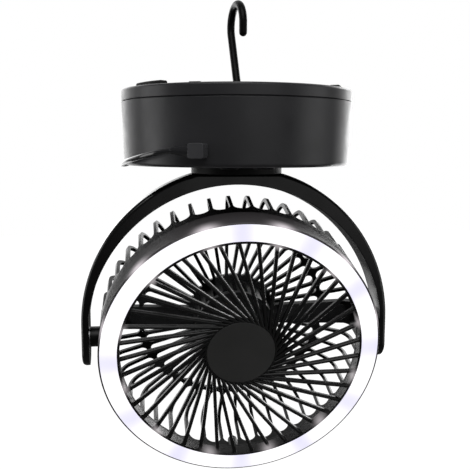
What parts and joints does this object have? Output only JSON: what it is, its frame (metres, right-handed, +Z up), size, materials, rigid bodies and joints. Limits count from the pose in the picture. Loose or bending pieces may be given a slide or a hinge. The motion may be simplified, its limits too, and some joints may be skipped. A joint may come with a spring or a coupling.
{
  "type": "portable camping fan",
  "caption": "Hanging battery fan with a round base, folding hook, swivelling yoke, tilting caged head and a ring light.",
  "frame": {"origin": "inside top of the hook's loop, where the fan hangs", "axes": "+Z up; the head's tilt axis lies along X and the fan faces -Y at rest"},
  "size_m": [0.22, 0.1629, 0.3366],
  "materials": {
    "charcoal_plastic": "fine satin moulded",
    "yoke_plastic": "semi gloss moulded",
    "grille_plastic": "satin moulded",
    "inner_plastic": "matte",
    "button_plastic": "satin",
    "black_rubber": "matte",
    "cable_plastic": "soft satin",
    "hook_steel": "black powder coat",
    "bright_steel": "plain",
    "screw_steel": "zinc plated",
    "motor_steel": "plain",
    "cell_wrap": "shrink wrap",
    "circuit_board": "solder mask",
    "light_lens": "milky lens",
    "lamp_chip": "phosphor",
    "white_nylon": "plain",
    "clear_plastic": "clear moulded",
    "brass_nut": "plain"
  },
  "bodies": {
    "base": {"base_housing": "charcoal_plastic", "base_lid": "charcoal_plastic", "rubber_feet": "black_rubber", "lid_screws": "screw_steel", "battery_cells": "cell_wrap", "battery_holder": "inner_plastic", "control_board": "circuit_board", "charge_socket": "bright_steel", "hook_bracket": "bright_steel", "hook_pin": "bright_steel", "swivel_washer": "white_nylon", "charge_plug": "cable_plastic", "strain_relief": "cable_plastic", "charge_cable": "cable_plastic", "cable_coil": "cable_plastic", "cable_tie": "black_rubber", "usb_plug": "cable_plastic", "usb_shell": "bright_steel"},
    "hook": {"hook": "hook_steel"},
    "power_button": {"power_button": "button_plastic"},
    "light_button": {"light_button": "button_plastic"},
    "yoke": {"swivel_collar": "yoke_plastic", "swivel_retainer": "inner_plastic", "swivel_screws": "screw_steel", "yoke": "yoke_plastic", "yoke_screws": "screw_steel", "pivot_bushes": "white_nylon", "pivot_washers": "bright_steel", "pivot_caps": "yoke_plastic"},
    "head": {"pivot_screws": "screw_steel", "head_ring": "grille_plastic", "light_diffuser": "light_lens", "lamp_board": "circuit_board", "lamps": "lamp_chip", "front_grille": "grille_plastic", "hub_cap": "grille_plastic", "rear_grille": "grille_plastic", "shell_screws": "screw_steel", "motor_cage": "inner_plastic", "motor_can": "motor_steel", "motor_bearings": "bright_steel"},
    "impeller": {"motor_rotor": "motor_steel", "motor_shaft": "bright_steel", "impeller": "clear_plastic", "impeller_nut": "brass_nut"}
  },
  "joints": [
    {"name": "hook_fold", "type": "hinge", "parent": "base", "child": "hook", "pos_m": [0.00083, -0.00473, -0.0605], "axis": [-0.1736, 0.9848, 0], "range_deg": [0, 90]},
    {"name": "power_press", "type": "slide", "parent": "base", "child": "power_button", "axis": [0, 0, 1], "range_m": [0, 0.0008], "stiffness_N_per_m": 1500, "springref_m": -0.0005},
    {"name": "light_press", "type": "slide", "parent": "base", "child": "light_button", "axis": [0, 0, 1], "range_m": [0, 0.0008], "stiffness_N_per_m": 1500, "springref_m": -0.0005},
    {"name": "swivel", "type": "hinge", "parent": "base", "child": "yoke", "pos_m": [0, 0, -0.1131], "axis": [0, 0, 1], "range_deg": [-175, 175]},
    {"name": "head_tilt", "type": "hinge", "parent": "yoke", "child": "head", "pos_m": [0, 0, -0.2286], "axis": [1, 0, 0], "range_deg": [-105, 75]},
    {"name": "fan_spin", "type": "hinge", "parent": "head", "child": "impeller", "pos_m": [0, 0, -0.2286], "axis": [0, -0.9659, -0.2588], "continuous": true}
  ]
}
